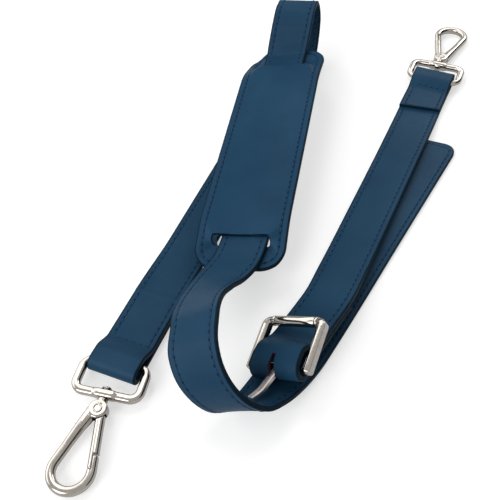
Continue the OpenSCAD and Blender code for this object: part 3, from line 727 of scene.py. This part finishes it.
def padCrown(x, y):
    (x0, y0), (dx, dy) = padLook["crownFrom"], padLook["crownOver"]
    return padLook["crown"] * ease((slotAt(x) - x0 - np.abs(x)) / dx) * ease((padHalf(x) - y0 - np.abs(y)) / dy)


def padRing(inset, long=padLook["halfLong"], wide=padLook["halfWide"], corner=padLook["corner"]):
    r = max(corner - inset, 0.0)  # closed loop of points that far inside a rounded outline
    cx, cy = long - max(inset, corner), wide - max(inset, corner)
    quarter = np.radians(np.linspace(0, 90, padCounts["turn"] + 2)[1:-1])
    c, s = r * np.cos(quarter), r * np.sin(quarter)
    xs, ys = np.linspace(-cx, cx, padCounts["side"]), np.linspace(-cy, cy, padCounts["end"])
    halfLoop = np.vstack([
        np.stack([xs, np.full(len(xs), -cy - r)], -1), np.stack([cx + s, -cy - c], -1),
        np.stack([np.full(len(ys), cx + r), ys], -1), np.stack([cx + c, cy + s], -1)])
    return np.vstack([halfLoop, -halfLoop])


def ringStack(name, rings, material):  # a closed shape from rings whose first and last are narrow slits
    verts, faces = loftRings(rings, caps=False)
    size, side = len(rings[0]), padCounts["side"]
    half = size // 2
    across = [half + side - 1 - k for k in range(side)]
    for start in (0, (len(rings) - 1) * size):
        faces += [[start + k, start + k + 1, start + across[k + 1], start + across[k]] for k in range(1, side - 2)]
        faces.append([start + k for k in range(side - 2, half + 2)])
        faces.append([start + k % size for k in range(half + side - 2, size + 2)])
    obj = newPiece(name, verts, faces, material, 50)
    tidyNormals(obj, 50, weld=True)
    return obj


def padSheet(name, low, high, swell, roundTop, roundLow, material):
    top, bottom = [], []
    sewnAt = padRing(padLook["sewn"])
    walked = walkedAlong(np.vstack([sewnAt, sewnAt[:1]]))
    pulls = 2 * np.pi * np.round(walked[-1] / stitchLook["pitch"]) * walked[:-1] / walked[-1]
    r = padLook["edge"]
    for e in padInsets:
        xy = padRing(e)
        z = padBase(*xy.T) + swell * padCrown(*xy.T)
        edge = r - math.sqrt(max(0, r * r - max(0, r - e) ** 2))
        off = e - padLook["sewn"]
        dip = padLook["groove"] * math.exp(-((off / padLook["grooveWide"]) ** 2))
        dip = dip + padLook["pull"] * math.exp(-((off / padLook["pullWide"]) ** 2)) * (1 + np.cos(pulls))
        puff = padLook["puff"] * math.exp(-((e - padLook["puffAt"]) ** 2))
        top.append(np.column_stack([xy, z + high - roundTop * (edge + dip - puff)]))
        bottom.append(np.column_stack([xy, z + low + roundLow * (edge + dip)]))
    return ringStack(name, bottom[::-1] + top, material)


def slotRing(long):
    r, straight = padLook["slotOpen"] / 2, (long - padLook["slotOpen"]) / 2
    q = np.radians(np.linspace(0, 180, 14))
    sides = np.linspace(-straight, straight, 30)[1:-1]
    halfLoop = np.vstack([np.stack([r * np.cos(q), straight + r * np.sin(q)], -1),
                          np.stack([np.full(len(sides), -r), sides[::-1]], -1)])
    return np.vstack([halfLoop, -halfLoop])


def slotCutters(long, asides):
    found = []
    for side, aside in zip((-1, 1), asides):
        ring = slotRing(long) + [side * slotAt(side), aside]
        ring = np.column_stack([ring, np.zeros(len(ring))])
        verts, faces = loftRings([ring + [0, 0, z] for z in (-9.0, 9.0)])
        found.append(newPiece("slot", verts, faces, edgePaint))
    return found


padLining = padSheet("padLining", 0.0, padLook["lining"], 0, 0.0, 1.0, liningLeather)
cutWith(padLining, slotCutters(*padLook["liningSlots"]), 50)
padFace = padSheet("padFace", faceLow, padEdgeThick, 1, 1.0, 0.0, padLeather)
cutWith(padFace, slotCutters(*padLook["faceSlots"]), 50)


def padFilling(name):
    top, bottom = [], []
    for e in foamInsets:
        xy = padRing(e, *padLook["foamShape"])
        z = padBase(*xy.T) + padLook["lining"] + 0.01
        top.append(np.column_stack([xy, z + 0.03 + padLook["foamShare"] * padCrown(*xy.T)]))
        bottom.append(np.column_stack([xy, z]))
    return ringStack(name, bottom[::-1] + top, padFoamLook)


def padLoop(ring, lift, swell=0):  # a path on the pad with the pad's normal
    x, y = ring[:, 0], ring[:, 1]
    d = 0.2
    slope = (padBase(x + d, y) - padBase(x - d, y)) / (2 * d)
    points = np.column_stack([ring, padBase(x, y) + swell * padCrown(x, y) + lift])
    return points, unit(np.column_stack([-slope, np.zeros(len(x)), np.ones(len(x))]))


padFoam = padFilling("padFoam")
padEdge = edgeBead("padEdge", *padLoop(padRing(0), padEdgeThick / 2), padEdgeThick / 2)
sewnRing = padRing(padLook["sewn"])
upPath, upNormals = padLoop(sewnRing, padEdgeThick, 1)
lowPath, lowNormals = padLoop(sewnRing, 0.0)
padStitches = stitchPiece("padStitches", [
    stitchRun(upPath, upNormals, closed=True), stitchRun(lowPath, -lowNormals, closed=True)])
for part, node, slot in ((padFace, "pad_face", "pad_leather"), (padLining, "pad_lining", "lining_leather"),
                         (padFoam, "pad_foam", "foam"), (padEdge, None, "pad_leather"),
                         (padStitches, None, "pad_leather")):
    settle(part, padPlace, "pad", node)
print("pad made")


# swivel hooks: eye, post, cast hook, gate, rivet and spring, made in the hook's own millimetres for each end
hookLook = {"eyeLong": 16.6, "eyeHalf": 15.8, "eyeWire": 3.6, "eyeTurn": 4.5, "bossHalf": 4.75, "bossFlat": 4.6,
            "bossWide": 5.4, "post": 3.0, "bow": (53.4, -1.2), "bowRadius": 8.9, "bar": 4.4, "armLean": -15.0,
            "gateLean": 12.5, "armLong": 27.3, "cheekAt": 24.6, "cheekRadius": 4.5, "cheekThick": 5.4, "neckFrom": 19.0,
            "lap": 6.5, "lapGap": 0.55, "fork": 3.2, "forkRound": 3.2, "wedgeLean": -17.0, "gateLong": 24.8,
            "tailLean": 26.8, "voxel": 0.17, "gateVoxel": 0.14, "coil": 1.85, "coilWire": 0.175, "coilTurns": 1.4,
            "coilPitch": 0.85}
bowAt, cheekMid = np.array([*hookLook["bow"], 0.0]), np.array([hookLook["cheekAt"], 0.0, 0.0])


def aboutBow(points, lean):  # from a bar's own line to the hook's directions
    return turned(points, lean) + bowAt


def eyePiece(name):
    look = hookLook
    r, x1, y1 = look["eyeTurn"], look["eyeLong"], look["eyeHalf"]
    q = np.radians(np.linspace(0, 90, 10))
    corner = np.stack([r * np.sin(q), r * (1 - np.cos(q))], -1)
    straight = np.linspace(0, 1, 14)[1:-1, None]
    path = []
    for cx, cy, a in ((x1 - r, -y1, 0), (x1, y1 - r, 90), (r, y1, 180), (0, r - y1, 270)):
        c, s = math.cos(math.radians(a)), math.sin(math.radians(a))
        path.append(corner @ np.array([[c, s], [-s, c]]) + [cx, cy])
    loop = []
    for i, part in enumerate(path):
        loop += [part, part[-1] + straight * (path[(i + 1) % 4][0] - part[-1])]
    loop = np.vstack(loop)
    loop = np.column_stack([loop, np.zeros(len(loop))])
    wire = look["eyeWire"] / 2
    swell = ease((loop[:, 0] - 1.0) / 5)  # plain wire in the leather, a stouter flat-sided bar outside it
    ring = sweepFlat(loop, [oval(wire + 0.35 * k, wire + 0.25 * k, 2.0 + 0.6 * k) for k in swell], closed=True)
    ends = [(-1.5, 0.55), (-1.3, 0.74), (-1.12, 0.88), (-0.9, 0.97), (-0.7, 1.0)]
    boss = []
    for k, size in mirrored(ends):
        s = oval(look["bossFlat"] / 2 * size, look["bossWide"] / 2 * size, 2.8)
        boss.append(np.column_stack([x1 + s[:, 0], np.full(len(s), k * look["bossHalf"]), s[:, 1]]))
    obj = newPiece(name, *joined([ring, loftRings(boss)]), brightMetal)
    castShape(obj, look["voxel"], 5)
    free = look["post"] / 2 + 0.06
    return cutWith(obj, [newPiece("bore", *lathe([(x1 - 5, free), (x1 + 5, free)], "x", 32), brightMetal)], 35)


def hookPiece(name):
    look = hookLook
    bar, r = look["bar"] / 2, look["bowRadius"]
    arm = aboutBow([[x, -r, 0] for x in np.linspace(-look["armLong"], -0.8, 22)], look["armLean"])
    q = np.radians(np.linspace(-90 + look["armLean"], 90 + look["gateLean"], 44))
    bow = np.column_stack([r * np.cos(q), r * np.sin(q), 0 * q]) + bowAt
    nose = aboutBow([[x, r, 0] for x in (-0.8, -2.0, -3.5, -5.0, -5.8, -6.2, -6.42, -look["lap"])], look["gateLean"])
    path = np.vstack([arm, bow, nose])
    shrink = np.ones(len(path))
    shrink[-4:] = (0.97, 0.88, 0.72, 0.5)
    wide, tall = np.ones(len(path)), np.ones(len(path))
    wide[:len(arm)] = 1 + 0.12 * ease(np.linspace(1.6, -0.6, len(arm)))  # the arm is stouter near the cheek
    tall[:len(arm)] = 1 + 0.23 * ease(np.linspace(1.5, -0.5, len(arm)))
    rod = sweepFlat(path, [oval(bar * k * w, bar * k * h, 2.5, 36) for k, w, h in zip(shrink, wide, tall)])
    c, h = look["cheekRadius"], look["cheekThick"] / 2
    rim = [(-h, c - 0.9), (-h + 0.1, c - 0.45), (-h + 0.35, c - 0.12), (-h + 0.8, c)]
    cheek = moved(lathe(mirrored(rim), "z", 56), cheekMid)
    near, far = cheekMid + [-0.76, -1.41, 0], arm[8]  # the web keeps to the arm's side, clear of the open gate
    web = sweepFlat([near + (far - near) * k for k in (0, 0.25, 0.5, 0.75, 1.0)],
                    [oval(w, z, 3.4) for w, z in ((2.4, 2.65), (2.4, 2.65), (2.35, 2.6), (2.3, 2.55), (2.3, 2.45))])
    n0 = look["neckFrom"]
    neck = lathe([(n0, 2.15), (n0 + 0.12, 2.38), (n0 + 0.5, 2.5), (n0 + 1.6, 2.55), (n0 + 3.4, 3.2)], "x", 36)
    obj = newPiece(name, *joined([rod, cheek, web, neck]), brightMetal)
    castShape(obj, look["voxel"], 6)
    half = look["fork"] / 2
    pocket = lathe([(-half, look["forkRound"]), (half, look["forkRound"])], "z")
    wedge = cubePart((0, 0, -half), (10.4, 10.4, half))
    lap = cubePart((-8.5, r - 5, -4), (-0.1, r + look["lapGap"] / 2, 4))
    cuts = [moved(pocket, cheekMid), moved(wedge, cheekMid, look["wedgeLean"]), moved(lap, bowAt, look["gateLean"])]
    return cutWith(obj, [newPiece("cut", *cut, brightMetal) for cut in cuts], 35)


def gatePiece(name):
    look = hookLook
    bar, r = look["bar"] / 2, look["bowRadius"]
    stops = [(-look["gateLong"], 1.0), (-15, 1.0), (-3, 1.0), (-1.2, 0.98), (-0.7, 0.9), (-0.42, 0.76), (-0.3, 0.55)]
    path = aboutBow([[x, r, 0] for x, k in stops], look["gateLean"])
    rod = sweepFlat(path, [oval(bar * k, bar * k, 2.5) for x, k in stops])
    obj = newPiece(name, *rod, brightMetal)
    clear = look["cheekRadius"] + 0.3
    root = lathe([(-4, clear), (4, clear)], "z", 56)
    lap = cubePart((-7.1, r - look["lapGap"] / 2, -4), (1, r + 5, 4))
    cuts = [moved(root, cheekMid), moved(lap, bowAt, look["gateLean"])]
    cutWith(obj, [newPiece("cut", *cut) for cut in cuts])
    castShape(obj, look["gateVoxel"], 3)
    tongue = lathe([(-1.5, 2.75), (-1.4, 2.9), (-0.5, 2.9), (-0.4, 2.75)], "z")
    tail, shoulder = cubePart((0, -0.8, -1.5), (6.4, 1.4, -0.4)), cubePart((3.4, -0.6, -1.5), (6.4, 1.4, 1.5))
    inside = [moved(tongue, cheekMid)] + [moved(part, cheekMid, look["tailLean"]) for part in (tail, shoulder)]
    return mergePieces(obj, newPiece("inner", *joined(inside), brightMetal))


def rivetPiece(name):
    dish = [(-2.46, 0.02), (-2.44, 1.0), (-2.5, 1.25), (-2.75, 1.36), (-3.02, 1.5), (-3.16, 1.75), (-3.14, 2.05),
            (-2.98, 2.26), (-2.75, 2.3), (-2.62, 2.2), (-2.55, 1.1)]
    return newPiece(name, *moved(lathe(mirrored(dish), "z"), cheekMid), brightMetal, 50)


def postPiece(name):
    head = [(12.8, 0.02), (12.84, 0.8), (13.05, 1.65), (13.45, 2.25), (13.85, 2.48), (14.12, 2.44), (14.2, 2.25)]
    shank = [(14.2, 1.55), (14.3, 1.5), (21.0, 1.5), (21.2, 1.3)]
    return newPiece(name, *lathe(head + shank, "x"), brightMetal, 50)


def springPiece(name):
    coil, wire = hookLook["coil"], hookLook["coilWire"]
    q = np.linspace(0, hookLook["coilTurns"] * 2 * math.pi, 70)
    spot = np.column_stack([coil * np.cos(q), coil * np.sin(q), -0.075 + hookLook["coilPitch"] * q / (2 * math.pi)])
    out = np.column_stack([np.cos(q), np.sin(q), 0 * q])
    a = np.linspace(0, 2 * math.pi, 10, endpoint=False)
    c, s = (wire * np.cos(a))[None, :, None], (wire * np.sin(a))[None, :, None]
    spring = loftRings(spot[:, None] + out[:, None] * c + upright * s)
    return newPiece(name, *moved(spring, cheekMid), springSteel, 60)


hookPlaces = {"a": ((-65.90, -67.64, 4.6), (0, 1.6, 253)), "b": ((126.78, 130.20, 4.6), (0, 1.6, 65))}
for end, (at, turns) in hookPlaces.items():
    up, place = end.upper(), placed(np.array(at) - middle, turns)
    settle(eyePiece("eye" + up), place, "eye_" + end, "eye_" + end)
    settle(postPiece("swivelPost" + up), place, "hook_" + end, "swivel_post_" + end)
    settle(hookPiece("hook" + up), place, "hook_" + end, "hook_" + end)
    settle(rivetPiece("gateRivet" + up), place, "hook_" + end, "gate_rivet_" + end)
    settle(springPiece("gateSpring" + up), place, "hook_" + end, "gate_spring_" + end)
    settle(gatePiece("gate" + up), place, "gate_" + end, "gate_" + end)
print("hooks made")


# roller buckle: frame with ridged side bars, pin in the leather's turn, roller and prong
buckleLook = {"sideY": 16.0, "wide": 4.2, "low": -1.7, "high": 1.7, "ridge": 2.9, "back": -2.6, "front": 23.0,
              "turn": 2.7, "topBar": 3.2, "pin": 3.0, "pinLong": 35.6, "roller": 5.0, "rollerBore": 3.32,
              "rollerLong": 26.2, "prongWide": 3.4, "prongSkew": 14.0, "prongTurn": -170.0,
              "turns": (-30, -10, 66), "aside": -0.2}
bucklePlace = placed(heel - middle, buckleLook["turns"]) @ Matrix.Translation((0, buckleLook["aside"], 0))


def buckleFrame(name):
    look = buckleLook
    w, turn = look["wide"] / 2, look["turn"]
    shape = np.array([(-w, look["low"]), (w, look["low"]), (w, look["high"]), (0, look["ridge"]), (-w, look["high"])])
    q = np.radians(np.linspace(0, 90, 9))
    domed = [(0, 0.7), (0.2, 0.86), (0.55, 0.95), (1.1, 1.0)]  # round ends at the heel
    parts, dimples = [], []
    for side in (-1, 1):
        straight = [[look["back"] + d, look["sideY"]] for d, k in domed]
        straight += [[x, look["sideY"]] for x in (1, 5, 9, 13, 17, look["front"] - turn - 0.4)]
        bend = [[look["front"] - turn + turn * math.sin(a), look["sideY"] - turn * (1 - math.cos(a))] for a in q]
        path = np.array(straight + bend + [[look["front"], look["sideY"] - turn - 0.5]]) * [1, side]
        plain, rest = len(straight) - 1, len(path) - len(straight) - 3
        sizes = np.concatenate([[k for d, k in domed], np.ones(plain), np.linspace(0.97, 0.74, rest)])
        parts.append(sweepFlat(np.column_stack([path, np.zeros(len(path))]), [shape * k for k in sizes]))
        dimple = lathe([(look["back"] + d, k) for d, k in ((-2, 0.85), (0.3, 0.8), (0.75, 0.4))], "x", 24)
        dimples.append(moved(dimple, [0, side * look["sideY"], 0.3]))
    obj = newPiece(name, *joined(parts), brightMetal)
    roundEdges(obj, 0.36, 25)
    cutWith(obj, [newPiece("dimple", *d, brightMetal) for d in dimples], 35)
    end = 0.9 * look["sideY"]
    bar = lathe([(-end, look["topBar"] / 2), (end, look["topBar"] / 2)], "y", 32)
    return mergePieces(obj, newPiece("bar", *moved(bar, [look["front"], 0, 0]), brightMetal))


def rollerPiece(name):
    look = buckleLook
    r, h, b = look["roller"] / 2, look["rollerLong"] / 2, look["rollerBore"] / 2
    end = [(-h, b + 0.25), (-h + 0.1, r - 0.25), (-h + 0.35, r - 0.03), (-h + 1.3, r), (-h + 1.5, r - 0.16),
           (-h + 1.75, r - 0.2), (-h + 2.0, r - 0.16), (-h + 2.25, r), (-4, r)]
    tube = lathe(mirrored(end) + [(h - 0.1, b), (-h + 0.1, b)], "y", 48, closed=True)
    return newPiece(name, *moved(tube, [look["front"], 0, 0]), brightMetal, 50)


def prongPiece(name):
    look = buckleLook
    w = look["prongWide"] / 2
    shape = [(1, -1), (8, -1), (14, -1), (17, -1.9), (20, -3), (20, -1.7), (17, -0.4), (13.5, 1), (8, 1), (1, 1)]
    rings = [[[x, y * (1.0 if x < 12 else 1 - 0.012 * (x - 12)), z] for x, z in shape] for y in (-w, w)]
    blade = newPiece(name, *loftRings(rings), satinMetal)
    blade.data.transform(Matrix.Rotation(math.radians(look["prongSkew"]), 4, "Z"))
    roundEdges(blade, 0.3, 30)
    outside = mirrored([(-w, 1.9), (-w + 0.15, 2.35), (-w + 0.4, 2.5)])
    eye = lathe(outside + [(w - 0.1, 1.56), (-w + 0.1, 1.56)], "y", closed=True)
    return mergePieces(blade, newPiece("eye", *eye, satinMetal))


def pinPiece(name):
    h, r = buckleLook["pinLong"] / 2, buckleLook["pin"] / 2
    end = [(-h, 0.7), (-h + 0.1, 1.1), (-h + 0.35, r - 0.08), (-h + 0.6, r)]
    return newPiece(name, *lathe(mirrored(end), "y", 36), brightMetal, 50)


prongPlace = bucklePlace @ Matrix.Rotation(math.radians(buckleLook["prongTurn"]), 4, "Y")
settle(buckleFrame("buckleFrame"), bucklePlace, "buckle_frame", "buckle_frame")
settle(pinPiece("buckleHeelPin"), bucklePlace, "buckle_frame", "buckle_heel_pin")
settle(rollerPiece("buckleRoller"), bucklePlace, "buckle_roller", "buckle_roller")
settle(prongPiece("buckleProng"), prongPlace, "buckle_prong", "buckle_prong")
print("buckle made")


# camera, floor and light
cameraLook = {"at": (-0.034, -0.2723, 0.2888), "lens": 50.4, "pitch": 50.0, "roll": 4.0}
floorLook = {"across": 8.0, "z": -0.0005, "grey": 0.62, "glow": (0.52, 1.0), "glowOver": (0.3, 1.5)}
worldGlow = 0.325
# place, size and watts of each lamp
lampLook = {"sideLamp": ((-1.2, 0.2, 0.6), 0.9, 5.2), "topLamp": ((-0.3, 0.75, 1.45), 0.75, 5.6),
            "frontLamp": ((-1.8, -1.6, 1.6), 1.8, 46), "rightLamp": ((0.5, 0.7, 0.6), 0.5, 2.7)}


def addCamera():
    data = bpy.data.cameras.new("camera")
    data.lens, data.sensor_width = cameraLook["lens"], 36.0
    data.clip_start, data.clip_end = 0.01, 20.0
    obj = bpy.data.objects.new("camera", data)
    p, r = math.radians(cameraLook["pitch"]), math.radians(cameraLook["roll"])
    flat, up = Vector((1, 0, 0)), Vector((0, math.sin(p), math.cos(p)))
    back = Vector((0, -math.cos(p), math.sin(p)))
    right, above = math.cos(r) * flat - math.sin(r) * up, math.sin(r) * flat + math.cos(r) * up
    obj.matrix_world = Matrix((right, above, back)).transposed().to_4x4()
    obj.matrix_world.translation = cameraLook["at"]
    scene.collection.objects.link(obj)
    scene.camera = obj


def seenDirectly(tree):  # 1 for rays from the camera, in gloss or through glass
    path = tree.nodes.new("ShaderNodeLightPath")
    total = path.outputs["Is Camera Ray"]
    for key in ("Is Glossy Ray", "Is Transmission Ray"):
        add = nodeBeside(total, "Math")
        add.operation, add.use_clamp = "ADD", True
        link(total, add, 0)
        link(path.outputs[key], add, 1)
        total = add.outputs[0]
    return total


def addFloor():
    mat = bpy.data.materials.new("paleFloor")
    mat.use_nodes = True
    tree = mat.node_tree
    tree.nodes.clear()
    kinds = ("OutputMaterial", "BsdfDiffuse", "Emission", "AddShader", "TexCoord", "VectorMath", "Math")
    out, matte, glow, both, where, away, level = (tree.nodes.new("ShaderNode" + kind) for kind in kinds)
    away.operation, level.operation = "LENGTH", "MULTIPLY"
    matte.inputs["Color"].default_value = (*[floorLook["grey"]] * 3, 1)
    link(where.outputs["Object"], away, 0)
    byDistance = remap(away.outputs["Value"], *floorLook["glow"], *floorLook["glowOver"])  # white far from the lamps
    link(byDistance, level, 0)
    link(seenDirectly(tree), level, 1)
    link(level.outputs[0], glow, "Strength")
    link(matte.outputs[0], both, 0)
    link(glow.outputs[0], both, 1)
    link(both.outputs[0], out, "Surface")
    floor = flatPiece("floor", floorLook["across"], floorLook["across"], mat)
    floor.location.z = floorLook["z"]


def addWorld():
    world = bpy.data.worlds.new("studio")
    scene.world = world
    world.use_nodes = True
    back = world.node_tree.nodes["Background"]
    back.inputs["Color"].default_value = (1, 1, 1, 1)
    link(remap(seenDirectly(world.node_tree), worldGlow, 1.0), back, "Strength")


def faceToward(obj, at, toward):
    obj.location = at
    obj.rotation_euler = (Vector(toward) - Vector(at)).to_track_quat("-Z", "Y").to_euler()


def addLamp(name, at, size, watts):
    data = bpy.data.lights.new(name, "AREA")
    data.shape, data.size, data.energy = "DISK", size, watts
    obj = bpy.data.objects.new(name, data)
    faceToward(obj, at, (0, 0, 0))
    scene.collection.objects.link(obj)


def addCard(name, at, toward, wide, high, glow=0.0):  # card that only shows in the bright metal, dark or lit
    mat = bpy.data.materials.new(name)
    mat.use_nodes = True
    shader = mat.node_tree.nodes["Principled BSDF"]
    shader.inputs["Base Color"].default_value = (0.01, 0.01, 0.012, 1)
    shader.inputs["Specular IOR Level"].default_value = 0.0
    shader.inputs["Emission Color"].default_value = (1, 1, 1, 1)
    shader.inputs["Emission Strength"].default_value = glow
    card = flatPiece(name, wide, high, mat)
    faceToward(card, at, toward)
    card.visible_camera = card.visible_diffuse = card.visible_shadow = False
    if glow:
        metal = bpy.data.collections.new(name + "Metal")
        metals = (brightMetal, satinMetal, springSteel)
        for obj in bpy.data.objects:
            if obj.type == "MESH" and obj.data.materials and obj.data.materials[0] in metals:
                metal.objects.link(obj)
        card.light_linking.receiver_collection = metal


addCamera()
addFloor()
addWorld()
for lamp, settings in lampLook.items():
    addLamp(lamp, *settings)
addCard("brightCard", (-0.55, 0.95, 0.84), (-0.08, -0.1, 0), 1.6, 1.2, 3.4)
addCard("darkCardBack", (0.0, 1.25, 0.07), (0, 0, 0.02), 2.4, 0.14)
addCard("darkCardRight", (0.95, -0.1, 0.45), (0, 0, 0.02), 1.8, 0.75)
print("camera, floor and light set")
